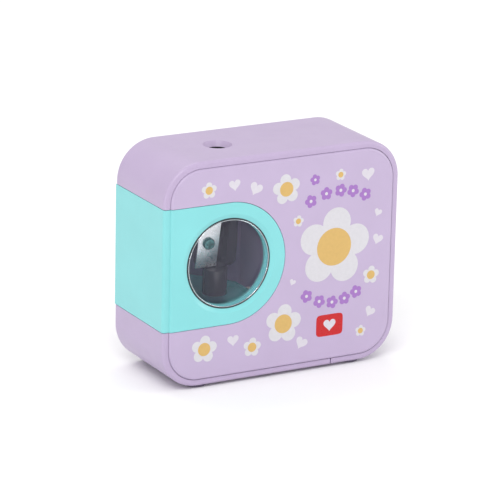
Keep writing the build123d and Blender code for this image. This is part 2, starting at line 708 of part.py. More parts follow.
with BuildPart() as gearbox_cover:
    block(PLATE_X, PLATE_Y, (COVER_PLATE_Z, COVER_TOP_Z))
    upright_disc(
        CUTTER_AXIS, GUIDE_CLEARANCE_RADIUS, (COVER_PLATE_Z, COVER_TOP_Z), mode=Mode.SUBTRACT
    )
    for axis in (FIRST_AXIS, SECOND_AXIS):
        upright_disc(axis, AXLE_RADIUS + 0.01, (COVER_PLATE_Z, COVER_TOP_Z), mode=Mode.SUBTRACT)
    for x, y in PILLAR_PLACES:
        upright_disc(
            (x, y), PLATE_SCREW_RADIUS + 0.1, (COVER_PLATE_Z, COVER_TOP_Z), mode=Mode.SUBTRACT
        )
        with Locations((x, y, SCREW_CONE_Z + 0.5)):
            Cone(
                PLATE_SCREW_RADIUS + 0.1,
                PLATE_SCREW_HEAD_RADIUS + 0.1,
                COVER_TOP_Z - SCREW_CONE_Z,
                mode=Mode.SUBTRACT,
            )
save(gearbox_cover, "gearbox_cover")

with BuildPart() as gearbox_screws:
    for x, y in PILLAR_PLACES:
        upright_disc((x, y), PLATE_SCREW_RADIUS, (PLATE_SCREW_TIP_Z, SCREW_CONE_Z + 0.1))
        with Locations((x, y, SCREW_CONE_Z + 0.5)):
            Cone(PLATE_SCREW_RADIUS, PLATE_SCREW_HEAD_RADIUS, COVER_TOP_Z - SCREW_CONE_Z)
        block((x - 1.2, x + 1.2), (y - 0.25, y + 0.25), (COVER_TOP_Z - 0.5, COVER_TOP_Z), Mode.SUBTRACT)
save(gearbox_screws, "gearbox_screws")

# ---------------------------------------------------------------- cutter
HOLDER_TOP_Z = 71.2
COLLAR_RADIUS = 7.0
HOLDER_RADIUS = 8.2
NOSE_RADIUS = 4.65
HOLDER_WIDE_Z = (40.4, 65.0)
CONE_TIP_RADIUS = 0.6
CONE_TOP_Z = 62.5
CONE_LENGTH = (CUTTER_BORE_RADIUS - CONE_TIP_RADIUS) / tan(radians(CONE_HALF_ANGLE))
CONE_TIP_Z = CONE_TOP_Z - CONE_LENGTH
BLADE_MIDDLE_Z = (CONE_TOP_Z + CONE_TIP_Z) / 2
BLADE_BITE = 0.25
BLADE_LENGTH = 23.0
BLADE_WIDTH = 8.8
BLADE_THICKNESS = 0.6
BLADE_SCREW_PLACE = (-4.4, -1.4)
BLADE_SCREW_RADIUS = 1.2
BLADE_SCREW_HEAD_RADIUS = 2.3
BLADE_SCREW_HEAD_HEIGHT = 1.2
BLADE_SCREW_DEPTH = 4.5
CHIP_SLOT_WIDTH = 3.6
CHIP_SLOT_DEPTH = 2.6
GUARD_HEIGHT = 0.9
SEAT_REACH = 12.0

blade_depth = (CUTTER_BORE_RADIUS + CONE_TIP_RADIUS) / 2 - BLADE_BITE
cone_angle = radians(CONE_HALF_ANGLE)
# the blade lies along the front of the cone and bites a little into it
blade_plane = Plane(
    origin=(PENCIL_X, PENCIL_Y - blade_depth, BLADE_MIDDLE_Z),
    x_dir=(1, 0, 0),
    z_dir=(0, -cos(cone_angle), -sin(cone_angle)),
)

with BuildPart() as blade_holder:
    with BuildSketch(Plane.XZ) as holder_section:
        with BuildLine():
            Polyline(
                (0, CUTTER_BOTTOM_Z),
                (NOSE_RADIUS, CUTTER_BOTTOM_Z),
                (NOSE_RADIUS, HOLDER_WIDE_Z[0]),
                (HOLDER_RADIUS, HOLDER_WIDE_Z[0]),
                (HOLDER_RADIUS, HOLDER_WIDE_Z[1]),
                (COLLAR_RADIUS, HOLDER_WIDE_Z[1]),
                (COLLAR_RADIUS, HOLDER_TOP_Z),
                (0, HOLDER_TOP_Z),
                close=True,
            )
        make_face()
        # the section's own Y runs up the axis
        wide_corners = holder_section.vertices().filter_by(
            lambda corner: abs(corner.X - HOLDER_RADIUS) < 0.01
        )
        fillet(wide_corners.sort_by(Axis.Y)[0], 2.4)
        nose_corners = holder_section.vertices().filter_by(
            lambda corner: abs(corner.X - NOSE_RADIUS) < 0.01
        )
        fillet(nose_corners.sort_by(Axis.Y)[0], 0.5)
    revolve(axis=Axis.Z)
blade_holder.part = blade_holder.part.moved(Location((PENCIL_X, PENCIL_Y, 0)))
with blade_holder:
    # bore for the pencil: straight at the top, then the cone
    with Locations((PENCIL_X, PENCIL_Y, BLADE_MIDDLE_Z)):
        Cone(CONE_TIP_RADIUS, CUTTER_BORE_RADIUS, CONE_LENGTH, mode=Mode.SUBTRACT)
    upright_disc(CUTTER_AXIS, CUTTER_BORE_RADIUS, (CONE_TOP_Z, HOLDER_TOP_Z), mode=Mode.SUBTRACT)
    upright_disc(CUTTER_AXIS, HUB_RADIUS + 0.01, (HUB_BOTTOM_Z, HOLDER_TOP_Z), mode=Mode.SUBTRACT)
    # seat for the blade on the left of the cone, guard on the right, chip slot between them
    with BuildSketch(blade_plane) as blade_seat:
        with Locations((-SEAT_REACH / 2, 0)):
            Rectangle(SEAT_REACH, BLADE_LENGTH + 1.0)
    extrude(blade_seat.sketch, amount=SEAT_REACH, mode=Mode.SUBTRACT)
    with BuildSketch(blade_plane.offset(GUARD_HEIGHT)) as guard_cut:
        with Locations((SEAT_REACH / 2, 0)):
            Rectangle(SEAT_REACH, BLADE_LENGTH + 1.0)
    extrude(guard_cut.sketch, amount=SEAT_REACH, mode=Mode.SUBTRACT)
    with BuildSketch(blade_plane.offset(-CHIP_SLOT_DEPTH)) as chip_slot:
        with Locations((CHIP_SLOT_WIDTH / 2, 0)):
            Rectangle(CHIP_SLOT_WIDTH, BLADE_LENGTH - 3.0)
    extrude(chip_slot.sketch, amount=CHIP_SLOT_DEPTH + 2.0, mode=Mode.SUBTRACT)
    with BuildSketch(blade_plane.offset(-BLADE_SCREW_DEPTH - 0.1)) as screw_hole:
        with Locations(BLADE_SCREW_PLACE):
            Circle(BLADE_SCREW_RADIUS + 0.01)
    extrude(screw_hole.sketch, amount=BLADE_SCREW_DEPTH + 0.2, mode=Mode.SUBTRACT)
save(blade_holder, "blade_holder")

with BuildPart() as blade:
    with BuildSketch(blade_plane.offset(0.01)):
        with Locations((-BLADE_WIDTH / 2, 0)):
            Rectangle(BLADE_WIDTH, BLADE_LENGTH)
        with Locations(BLADE_SCREW_PLACE):
            SlotOverall(4.4, 2 * BLADE_SCREW_RADIUS + 0.3, rotation=90, mode=Mode.SUBTRACT)
    extrude(amount=BLADE_THICKNESS)
    # ground edge over the cone
    upper_edge = blade.faces().sort_by(Axis.Y)[0].edges().sort_by(Axis.X)[-1]
    chamfer(upper_edge, BLADE_THICKNESS * 0.8, 2.2)
save(blade, "blade")

with BuildPart() as blade_screw:
    with BuildSketch(blade_plane.offset(-BLADE_SCREW_DEPTH)):
        with Locations(BLADE_SCREW_PLACE):
            Circle(BLADE_SCREW_RADIUS)
    extrude(amount=BLADE_SCREW_DEPTH + BLADE_THICKNESS + 0.1)
    head_plane = blade_plane.offset(BLADE_THICKNESS + 0.02)
    with BuildSketch(head_plane):
        with Locations(BLADE_SCREW_PLACE):
            Circle(BLADE_SCREW_HEAD_RADIUS)
    extrude(amount=BLADE_SCREW_HEAD_HEIGHT)
    fillet(blade_screw.edges().filter_by(GeomType.CIRCLE).sort_by(Axis.Y)[0], 0.5)
    with BuildSketch(head_plane.offset(BLADE_SCREW_HEAD_HEIGHT)):
        with Locations(BLADE_SCREW_PLACE):
            Rectangle(0.7, 3.0)
            Rectangle(3.0, 0.7)
    extrude(amount=-0.7, mode=Mode.SUBTRACT)
save(blade_screw, "blade_screw")

# ---------------------------------------------------------------- start switch under the cutter gear
WASHER_Z = (76.05, 76.55)
WASHER_RADIUS = 7.4
SPRING_WIRE_RADIUS = 0.25
SPRING_RADIUS = 6.6
SPRING_BOTTOM_Z = PLATE_TOP_Z + 0.02
SPRING_TOP_Z = WASHER_Z[0] - 0.02
SPRING_TURNS = 2
EAR_X = (-18.0, -13.4)
LEAF_Y = (11.6, 14.4)
LEAF_THICKNESS = 0.25
LOWER_LEAF_Z = 74.1
UPPER_LEAF_Z = 74.75
CONTACT_BLOCK_X = (4.4, 11.2)
CONTACT_BLOCK_Y = (11.2, 14.8)
CONTACT_BLOCK_TOP_Z = 76.6

with BuildPart() as thrust_washer:
    upright_tube(CUTTER_AXIS, WASHER_RADIUS, HUB_RADIUS + 0.15, WASHER_Z)
    block(EAR_X, (5.0, LEAF_Y[1]), WASHER_Z)
    upright_disc(CUTTER_AXIS, HUB_RADIUS + 0.15, WASHER_Z, mode=Mode.SUBTRACT)
save(thrust_washer, "thrust_washer")

with BuildPart() as return_spring:
    coil_height = SPRING_TOP_Z - SPRING_BOTTOM_Z - 2 * SPRING_WIRE_RADIUS
    with BuildLine() as coil:
        Helix(
            pitch=coil_height / SPRING_TURNS,
            height=coil_height,
            radius=SPRING_RADIUS,
            center=(PENCIL_X, PENCIL_Y, SPRING_BOTTOM_Z + SPRING_WIRE_RADIUS),
        )
    with BuildSketch(Plane(origin=coil.line @ 0, z_dir=coil.line % 0)):
        Circle(SPRING_WIRE_RADIUS)
    sweep(path=coil.line, is_frenet=True)
save(return_spring, "return_spring")

for leaf_name, leaf_z in (
    ("start_contact_lower", LOWER_LEAF_Z),
    ("start_contact_upper", UPPER_LEAF_Z),
):
    with BuildPart() as start_leaf:
        block((EAR_X[0] + 1.0, CONTACT_BLOCK_X[0]), LEAF_Y, (leaf_z, leaf_z + LEAF_THICKNESS))
    save(start_leaf, leaf_name)

with BuildPart() as contact_block:
    block(CONTACT_BLOCK_X, CONTACT_BLOCK_Y, (PLATE_TOP_Z, CONTACT_BLOCK_TOP_Z))
    chamfer(contact_block.faces().sort_by(Axis.Z)[-1].edges(), 0.4)
save(contact_block, "contact_block")

# ---------------------------------------------------------------- motor
CAN_BOTTOM_Z = BASE_PLATE_Z - MOTOR_CAN_LENGTH
CAP_BOTTOM_Z = CAN_BOTTOM_Z - MOTOR_CAP_LENGTH
CAN_WALL = 0.7
SHAFT_RADIUS = 1.0
TERMINAL_OFFSET = 6.0
TERMINAL_LENGTH = 3.2
ARMATURE_Z = (56.0, 68.0)
MAGNET_Z = (55.0, 69.0)
ARMATURE_RADIUS = 6.2
MAGNET_INNER_RADIUS = 6.6
MAGNET_OUTER_RADIUS = 9.2
COMMUTATOR_RADIUS = 2.3
BRUSH_THICKNESS = 0.25

with BuildPart() as motor_can:
    motor_prism(0, (CAN_BOTTOM_Z, BASE_PLATE_Z))
    motor_prism(-CAN_WALL, (CAN_BOTTOM_Z, BASE_PLATE_Z - 1.0), mode=Mode.SUBTRACT)
    upright_disc(MOTOR_AXIS, MOTOR_BOSS_RADIUS, (BASE_PLATE_Z - 0.1, BASE_PLATE_Z + 1.5))
    upright_disc(
        MOTOR_AXIS,
        SHAFT_RADIUS + RUNNING_GAP,
        (BASE_PLATE_Z - 1.1, BASE_PLATE_Z + 1.5),
        mode=Mode.SUBTRACT,
    )
save(motor_can, "motor_can")

with BuildPart() as motor_end_cap:
    motor_prism(-0.2, (CAP_BOTTOM_Z, CAN_BOTTOM_Z - 0.01))
    upright_disc(MOTOR_AXIS, 2.6, (CAP_BOTTOM_Z - 1.2, CAP_BOTTOM_Z + 0.1))
    upright_disc(MOTOR_AXIS, 6.0, (CAP_BOTTOM_Z + 1.4, CAN_BOTTOM_Z), mode=Mode.SUBTRACT)
    upright_disc(
        MOTOR_AXIS,
        SHAFT_RADIUS + RUNNING_GAP,
        (CAP_BOTTOM_Z - 0.6, CAN_BOTTOM_Z),
        mode=Mode.SUBTRACT,
    )
save(motor_end_cap, "motor_end_cap")

with BuildPart() as motor_magnets:
    with BuildSketch(level(MAGNET_Z[0])):
        with Locations(MOTOR_AXIS):
            Circle(MAGNET_OUTER_RADIUS)
            Circle(MAGNET_INNER_RADIUS, mode=Mode.SUBTRACT)
            Rectangle(3 * MOTOR_RADIUS, 10.0, mode=Mode.INTERSECT)
    extrude(amount=MAGNET_Z[1] - MAGNET_Z[0])
save(motor_magnets, "motor_magnets")

with BuildPart() as motor_armature:
    with BuildSketch(level(ARMATURE_Z[0])):
        with Locations(MOTOR_AXIS):
            Circle(ARMATURE_RADIUS)
            Circle(SHAFT_RADIUS + 0.01, mode=Mode.SUBTRACT)
            with PolarLocations(ARMATURE_RADIUS - 1.2, 3):
                Rectangle(4.0, 1.4, mode=Mode.SUBTRACT)
    extrude(amount=ARMATURE_Z[1] - ARMATURE_Z[0])
save(motor_armature, "motor_armature")

with BuildPart() as motor_commutator:
    upright_tube(
        MOTOR_AXIS, COMMUTATOR_RADIUS, SHAFT_RADIUS + 0.01, (CAP_BOTTOM_Z + 2.0, CAN_BOTTOM_Z + 2.5)
    )
save(motor_commutator, "motor_commutator")

with BuildPart() as motor_brushes:
    for side in (-1, 1):
        inner_x = MOTOR_AXIS[0] + side * (COMMUTATOR_RADIUS + RUNNING_GAP)
        outer_x = inner_x + side * BRUSH_THICKNESS
        block(
            sorted((inner_x, outer_x)),
            (MOTOR_AXIS[1] - 2.6, MOTOR_AXIS[1] + 2.6),
            (CAP_BOTTOM_Z + 2.2, CAN_BOTTOM_Z - 0.2),
        )
save(motor_brushes, "motor_brushes")

with BuildPart() as motor_terminals:
    for side in (-1, 1):
        middle_x = MOTOR_AXIS[0] + side * TERMINAL_OFFSET
        block(
            (middle_x - 1.0, middle_x + 1.0),
            (MOTOR_AXIS[1] - 0.25, MOTOR_AXIS[1] + 0.25),
            (CAP_BOTTOM_Z - TERMINAL_LENGTH, CAP_BOTTOM_Z),
        )
save(motor_terminals, "motor_terminals")

with BuildPart() as motor_shaft:
    upright_disc(MOTOR_AXIS, SHAFT_RADIUS, (CAP_BOTTOM_Z - 0.4, MOTOR_PINION_Z[1] + 0.4))
save(motor_shaft, "motor_shaft")

with BuildPart() as motor_pinion:
    toothed_wheel(MOTOR_AXIS, PINION_TEETH, PINION_ADDENDUM, MOTOR_PHASE, MOTOR_PINION_Z)
    upright_disc(MOTOR_AXIS, SHAFT_RADIUS + 0.01, MOTOR_PINION_Z, mode=Mode.SUBTRACT)
save(motor_pinion, "motor_pinion")

# ---------------------------------------------------------------- drawer switch
SWITCH_X = (PARTITION_X + PARTITION_THICKNESS + 0.1, PARTITION_X + PARTITION_THICKNESS + 6.1)
SWITCH_BODY_Z = (BAY_BOTTOM_Z, BAY_BOTTOM_Z + 4.6)
SWITCH_HALF_WIDTH = 4.0
SWITCH_TAB_Y = 2.2

with BuildPart() as safety_switch_body:
    block(SWITCH_X, (SWITCH_Y - SWITCH_HALF_WIDTH, SWITCH_Y + SWITCH_HALF_WIDTH), SWITCH_BODY_Z)
    side_rod(
        (SWITCH_Y, SWITCH_Z),
        PLUNGER_RADIUS + RUNNING_GAP,
        (SWITCH_X[0], SWITCH_X[0] + 4.4),
        mode=Mode.SUBTRACT,
    )
    chamfer(safety_switch_body.faces().sort_by(Axis.Z)[-1].edges(), 0.4)
save(safety_switch_body, "safety_switch_body")

with BuildPart() as safety_switch_plunger:
    plunger_ends = (DRAWER_RIGHT_X + 0.05, SWITCH_X[0] + 3.6)
    side_rod((SWITCH_Y, SWITCH_Z), PLUNGER_RADIUS, plunger_ends)
    fillet(safety_switch_plunger.faces().sort_by(Axis.X)[0].edges(), 0.4)
save(safety_switch_plunger, "safety_switch_plunger")

with BuildPart() as safety_switch_terminals:
    for side in (-1, 1):
        tab_y = SWITCH_Y + side * SWITCH_TAB_Y
        block(
            (SWITCH_X[1], SWITCH_X[1] + 2.4),
            (tab_y - 0.9, tab_y + 0.9),
            (SWITCH_Z - 0.2, SWITCH_Z + 0.2),
        )
save(safety_switch_terminals, "safety_switch_terminals")

# ---------------------------------------------------------------- battery bay
CELL_NUB_RADIUS = 2.6
CELL_NUB_LENGTH = 1.0
CONTACT_THICKNESS = 0.3
LEAF_BOTTOM_Z = 6.4
LEAF_TOP_Z = 16.4
CONTACT_BOTTOM_Z = 5.0
CONTACT_TAB_TOP_Z = 25.6
CONTACT_FACE_X = CONTACT_X - CONTACT_THICKNESS / 2

with BuildPart() as cells:
    for side in (-1, 1):
        # the two cells lie head to tail
        flat_x = -side * CELL_LENGTH / 2
        shoulder_x = side * (CELL_LENGTH / 2 - CELL_NUB_LENGTH)
        side_rod((side * CELL_Y, CELL_Z), CELL_RADIUS, sorted((flat_x, shoulder_x)))
        nub_ends = (shoulder_x - CELL_NUB_LENGTH, shoulder_x + CELL_NUB_LENGTH)
        side_rod((side * CELL_Y, CELL_Z), CELL_NUB_RADIUS, nub_ends)
save(cells, "battery_cells")


def contact_leaf(side, y):
    """Bent spring strip that reaches in from an end wall to the end of a cell."""
    root_x = side * CONTACT_FACE_X
    tip_x = CELL_LENGTH / 2 + 0.05
    with BuildSketch(across(y + 3.0)) as leaf:
        with BuildLine():
            Polyline(
                (root_x, LEAF_BOTTOM_Z),
                (side * tip_x, CELL_Z),
                (root_x, LEAF_TOP_Z),
                (root_x, LEAF_TOP_Z - 0.6),
                (side * (tip_x + 0.35), CELL_Z),
                (root_x, LEAF_BOTTOM_Z + 0.6),
                close=True,
            )
        make_face()
    extrude(leaf.sketch, amount=6.0)


for contact_name, side_y in (
    ("battery_contact_positive", 1),
    ("battery_contact_negative", -1),
):
    with BuildPart() as contact:
        middle_y = side_y * CELL_Y
        block(
            (CONTACT_FACE_X, CONTACT_FACE_X + CONTACT_THICKNESS),
            (middle_y - 4.0, middle_y + 4.0),
            (CONTACT_BOTTOM_Z, SHELF_BOTTOM_Z - 2.0),
        )
        block(
            (CONTACT_FACE_X, CONTACT_FACE_X + CONTACT_THICKNESS),
            (middle_y - 1.5, middle_y + 1.5),
            (CONTACT_BOTTOM_Z, CONTACT_TAB_TOP_Z),
        )
        contact_leaf(1, middle_y)
    save(contact, contact_name)

with BuildPart() as battery_contact_bridge:
    block(
        (-CONTACT_FACE_X - CONTACT_THICKNESS, -CONTACT_FACE_X),
        (-11.5, 11.5),
        (CONTACT_BOTTOM_Z, CELL_RIB_Z - 0.1),
    )
    for side in (-1, 1):
        contact_leaf(-1, side * CELL_Y)
save(battery_contact_bridge, "battery_contact_bridge")

# ---------------------------------------------------------------- battery door
DOOR_HALF_LENGTH = BAY_HALF_LENGTH - DOOR_GAP
DOOR_FRONT_Y = -BAY_HALF_DEPTH + DOOR_GAP
DOOR_BACK_Y = DOOR_PIN_Y - 1.9
DOOR_TOP_Z = BASE_Z + DOOR_THICKNESS
GRIP_Y = -14.0
GRIP_STEP = 1.6
GRIP_COUNT = 4

with BuildPart() as battery_door:
    block(
        (-DOOR_HALF_LENGTH, DOOR_HALF_LENGTH),
        (DOOR_FRONT_Y, DOOR_BACK_Y),
        (BASE_Z, DOOR_TOP_Z),
    )
    for lug_x in (-DOOR_LUG_X, DOOR_LUG_X):
        lug = (lug_x - DOOR_LUG_WIDTH / 2, lug_x + DOOR_LUG_WIDTH / 2)
        side_rod((DOOR_PIN_Y, DOOR_PIN_Z), DOOR_LUG_RADIUS, lug)
        block(lug, (DOOR_BACK_Y - 0.5, DOOR_PIN_Y), (DOOR_PIN_Z - 0.7, DOOR_TOP_Z))
        side_rod((DOOR_PIN_Y, DOOR_PIN_Z), DOOR_PIN_RADIUS, (lug_x - 3.4, lug_x + 3.4))
    # finger grip: shallow grooves along the free edge
    for i in range(GRIP_COUNT):
        groove_y = GRIP_Y + i * GRIP_STEP
        block((-6.0, 6.0), (groove_y, groove_y + 0.7), (BASE_Z, BASE_Z + 0.5), mode=Mode.SUBTRACT)
save(battery_door, "battery_door")

# ---------------------------------------------------------------- wires
BEND_RADIUS = 2.4
switch_tab_x = SWITCH_X[1] + 2.4
left_terminal = (MOTOR_AXIS[0] - TERMINAL_OFFSET, MOTOR_AXIS[1], CAP_BOTTOM_Z - TERMINAL_LENGTH)
right_terminal = (MOTOR_AXIS[0] + TERMINAL_OFFSET, MOTOR_AXIS[1], CAP_BOTTOM_Z - TERMINAL_LENGTH)
block_bottom_z = PLATE_TOP_Z
WIRE_ROUTES = {
    "wire_battery_to_switch": [
        (CONTACT_X, CELL_Y, CONTACT_TAB_TOP_Z),
        (CONTACT_X, CELL_Y, 32.0),
        (20.0, SWITCH_Y + SWITCH_TAB_Y, 32.0),
        (20.0, SWITCH_Y + SWITCH_TAB_Y, SWITCH_Z),
        (switch_tab_x, SWITCH_Y + SWITCH_TAB_Y, SWITCH_Z),
    ],
    "wire_switch_to_start": [
        (switch_tab_x, SWITCH_Y - SWITCH_TAB_Y, SWITCH_Z),
        (18.0, SWITCH_Y - SWITCH_TAB_Y, SWITCH_Z),
        (18.0, SWITCH_Y - SWITCH_TAB_Y, 36.0),
        (START_WIRE_PLACES[0][0], START_WIRE_PLACES[0][1], 38.0),
        (START_WIRE_PLACES[0][0], START_WIRE_PLACES[0][1], block_bottom_z),
    ],
    "wire_start_to_motor": [
        (START_WIRE_PLACES[1][0], START_WIRE_PLACES[1][1], block_bottom_z),
        (START_WIRE_PLACES[1][0], START_WIRE_PLACES[1][1], 46.0),
        (left_terminal[0], 8.0, 38.0),
        (left_terminal[0], left_terminal[1], 37.0),
        left_terminal,
    ],
    "wire_motor_to_battery": [
        right_terminal,
        (right_terminal[0], right_terminal[1], 36.0),
        (CONTACT_X, -CELL_Y, 34.0),
        (CONTACT_X, -CELL_Y, CONTACT_TAB_TOP_Z),
    ],
}

for wire_name, route in WIRE_ROUTES.items():
    with BuildPart() as wire:
        with BuildLine() as wire_path:
            FilletPolyline(*route, radius=BEND_RADIUS)
        with BuildSketch(Plane(origin=wire_path.line @ 0, z_dir=wire_path.line % 0)):
            Circle(WIRE_RADIUS)
        sweep(path=wire_path.line)
    save(wire, wire_name)
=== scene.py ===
"""Looks of a small battery pencil sharpener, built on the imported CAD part."""

import math

import bmesh
import bpy
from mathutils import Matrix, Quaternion, Vector


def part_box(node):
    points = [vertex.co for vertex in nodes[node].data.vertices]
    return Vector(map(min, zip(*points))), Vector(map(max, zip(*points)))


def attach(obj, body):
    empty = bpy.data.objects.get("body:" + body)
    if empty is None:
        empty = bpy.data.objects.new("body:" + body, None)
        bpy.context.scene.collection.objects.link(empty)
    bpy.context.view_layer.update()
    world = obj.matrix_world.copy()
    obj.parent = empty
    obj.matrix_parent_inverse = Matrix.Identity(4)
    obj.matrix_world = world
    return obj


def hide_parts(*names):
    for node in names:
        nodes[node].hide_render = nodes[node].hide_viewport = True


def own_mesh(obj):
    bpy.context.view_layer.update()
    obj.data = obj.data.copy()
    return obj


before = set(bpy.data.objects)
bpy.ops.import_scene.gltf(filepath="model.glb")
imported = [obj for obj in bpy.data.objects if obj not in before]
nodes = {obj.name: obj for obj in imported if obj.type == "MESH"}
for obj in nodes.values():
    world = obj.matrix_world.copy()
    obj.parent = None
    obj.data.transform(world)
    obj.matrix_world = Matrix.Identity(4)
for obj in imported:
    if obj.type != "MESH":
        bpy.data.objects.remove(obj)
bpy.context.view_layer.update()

MM = 0.001


def middle(node):
    """Middle of a CAD node's box, in mm."""
    low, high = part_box(node)
    return (low + high) / (2 * MM)


def add_piece(mesh, name, material, body):
    """Object from a finished bmesh, which rides on a body."""
    bmesh.ops.recalc_face_normals(mesh, faces=mesh.faces)
    data = bpy.data.meshes.new(name)
    mesh.to_mesh(data)
    mesh.free()
    data.materials.append(material)
    piece = bpy.data.objects.new(name, data)
    bpy.context.scene.collection.objects.link(piece)
    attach(piece, body)
    return piece


# ---------------------------------------------------------------- materials
def srgb(red, green, blue):
    """Linear colour from the 0-255 values of a colour sample."""
    linear = []
    for value in (red / 255, green / 255, blue / 255):
        low = value <= 0.04045
        linear.append(value / 12.92 if low else ((value + 0.055) / 1.055) ** 2.4)
    return (*linear, 1.0)


def tinted(colour, factor):
    """The colour, lighter or darker."""
    return (*[min(1.0, channel * factor) for channel in colour[:3]], 1.0)


class Surface:
    """A material under construction: one Principled shader and what feeds it."""

    def __init__(self, name, roughness=0.5, **sockets):
        self.material = bpy.data.materials.new(name)
        self.material.use_nodes = True
        self.tree = self.material.node_tree
        self.shader = self.tree.nodes["Principled BSDF"]
        self.shader.inputs["Roughness"].default_value = roughness
        for socket, value in sockets.items():
            self.shader.inputs[socket.replace("_", " ")].default_value = value
        self.place = self.tree.nodes.new("ShaderNodeTexCoord").outputs["Object"]

    def add(self, kind, **settings):
        """A node with its settings."""
        node = self.tree.nodes.new(kind)
        for key, value in settings.items():
            setattr(node, key, value)
        return node

    def link(self, source, target):
        self.tree.links.new(source, target)

    def noise(self, size, detail=2.0, stretch=(1, 1, 1)):
        """Noise whose blobs are about this size in metres."""
        mapping = self.add("ShaderNodeMapping")
        mapping.inputs["Scale"].default_value = stretch
        self.link(self.place, mapping.inputs["Vector"])
        node = self.add("ShaderNodeTexNoise")
        node.inputs["Scale"].default_value = 1 / size
        node.inputs["Detail"].default_value = detail
        self.link(mapping.outputs["Vector"], node.inputs["Vector"])
        return node.outputs["Fac"]

    def mix_colour(self, factor, first, second):
        """Colour between two, by a factor that varies over the surface."""
        node = self.add("ShaderNodeMix", data_type="RGBA")
        self.link(factor, node.inputs["Factor"])
        node.inputs["A"].default_value = first
        node.inputs["B"].default_value = second
        return node.outputs["Result"]

    def spread(self, value, low, high, start=0.3, end=0.7):
        """A value from start to end, remapped to low to high."""
        node = self.add("ShaderNodeMapRange")
        node.inputs["From Min"].default_value = start
        node.inputs["From Max"].default_value = end
        node.inputs["To Min"].default_value = low
        node.inputs["To Max"].default_value = high
        self.link(value, node.inputs["Value"])
        return node.outputs["Result"]

    def bump(self, height, distance):
        """Bump of a real depth in metres."""
        node = self.add("ShaderNodeBump")
        node.inputs["Distance"].default_value = distance
        self.link(height, node.inputs["Height"])
        self.link(node.outputs["Normal"], self.shader.inputs["Normal"])

    def colour(self, source):
        self.link(source, self.shader.inputs["Base Color"])

    def roughness(self, source):
        self.link(source, self.shader.inputs["Roughness"])


def moulded(name, colour, roughness, grain=0.004, depth=0.000004, cloud=0.02):
    """Moulded plastic: faint clouds of colour, a very shallow waviness and uneven gloss."""
    surface = Surface(name)
    clouds = surface.noise(0.014, detail=3.0)
    factor = surface.spread(clouds, 0.0, 1.0)
    surface.colour(surface.mix_colour(factor, tinted(colour, 1 - cloud), tinted(colour, 1 + cloud)))
    rub = surface.noise(0.006, detail=1.0)
    surface.roughness(surface.spread(rub, roughness - 0.03, roughness + 0.03))
    fine = surface.noise(grain, detail=2.0)
    surface.bump(fine, depth)
    return surface.material


def metal(name, colour, roughness, stretch=(1, 1, 1)):
    """Metal with fine drawn or ground lines along one direction and uneven polish."""
    surface = Surface(name, Metallic=1.0)
    stain = surface.spread(surface.noise(0.003, detail=4.0), 0.0, 1.0)
    surface.colour(surface.mix_colour(stain, tinted(colour, 0.92), tinted(colour, 1.08)))
    lines = surface.noise(0.00012, detail=3.0, stretch=stretch)
    surface.roughness(surface.spread(lines, roughness - 0.07, roughness + 0.1))
    surface.bump(lines, 0.000003)
    return surface.material


def printed(name, colour, roughness=0.42):
    """Thin pad print: a little uneven ink cover and a very fine orange peel."""
    surface = Surface(name)
    cover = surface.spread(surface.noise(0.0012, detail=4.0), 0.0, 1.0)
    surface.colour(surface.mix_colour(cover, tinted(colour, 0.97), tinted(colour, 1.02)))
    peel = surface.noise(0.0004, detail=2.0)
    surface.roughness(surface.spread(peel, roughness - 0.04, roughness + 0.04))
    surface.bump(peel, 0.000003)
    return surface.material


LILAC = srgb(177, 160, 190)
PANEL_LILAC = srgb(180, 164, 193)
TEAL = srgb(125, 202, 204)

shell_plastic = moulded("lilac_shell_plastic", LILAC, 0.36)
panel_plastic = moulded("lilac_panel_plastic", PANEL_LILAC, 0.36)
drawer_plastic = moulded("teal_drawer_plastic", TEAL, 0.24)
foot_rubber = moulded("lilac_foot_rubber", srgb(96, 88, 108), 0.8, grain=0.0003, depth=0.00002)
holder_plastic = moulded("dark_holder_plastic", srgb(52, 48, 54), 0.2, grain=0.0005)
gear_plastic = moulded("natural_gear_plastic", srgb(232, 230, 222), 0.4)
gearbox_plastic = moulded("grey_gearbox_plastic", srgb(196, 196, 204), 0.5)
black_plastic = moulded("black_plastic", srgb(34, 34, 38), 0.45)
battery_sleeve = moulded("battery_sleeve", srgb(66, 70, 82), 0.3, grain=0.002, cloud=0.06)
red_wire = moulded("red_wire_sleeve", srgb(178, 30, 34), 0.45, grain=0.0008)
black_wire = moulded("black_wire_sleeve", srgb(30, 30, 34), 0.45, grain=0.0008)
blue_wire = moulded("blue_wire_sleeve", srgb(40, 82, 170), 0.45, grain=0.0008)
ground_steel = metal("ground_blade_steel", srgb(236, 237, 240), 0.26, stretch=(0.15, 1, 1))
plain_steel = metal("plain_steel", srgb(200, 202, 206), 0.2)
# The blade screw's teal tint is a painted reflection of the teal drawer round it, not a blued
# finish.
screw_steel_teal_reflection = metal("screw_steel_painted_teal_reflection", srgb(84, 132, 130), 0.16)
zinc_steel = metal("drawn_zinc_steel", srgb(176, 180, 186), 0.38, stretch=(1, 1, 0.1))
spring_steel = metal("spring_steel", srgb(176, 178, 184), 0.26)
nickel_strip = metal("nickel_strip", srgb(204, 202, 192), 0.28, stretch=(1, 0.2, 1))
copper = metal("copper", srgb(192, 118, 72), 0.34)
brass = metal("turned_brass", srgb(206, 172, 96), 0.3, stretch=(0.2, 0.2, 1))
magnet = moulded("sintered_magnet", srgb(48, 48, 52), 0.6, grain=0.0002, depth=0.00001)


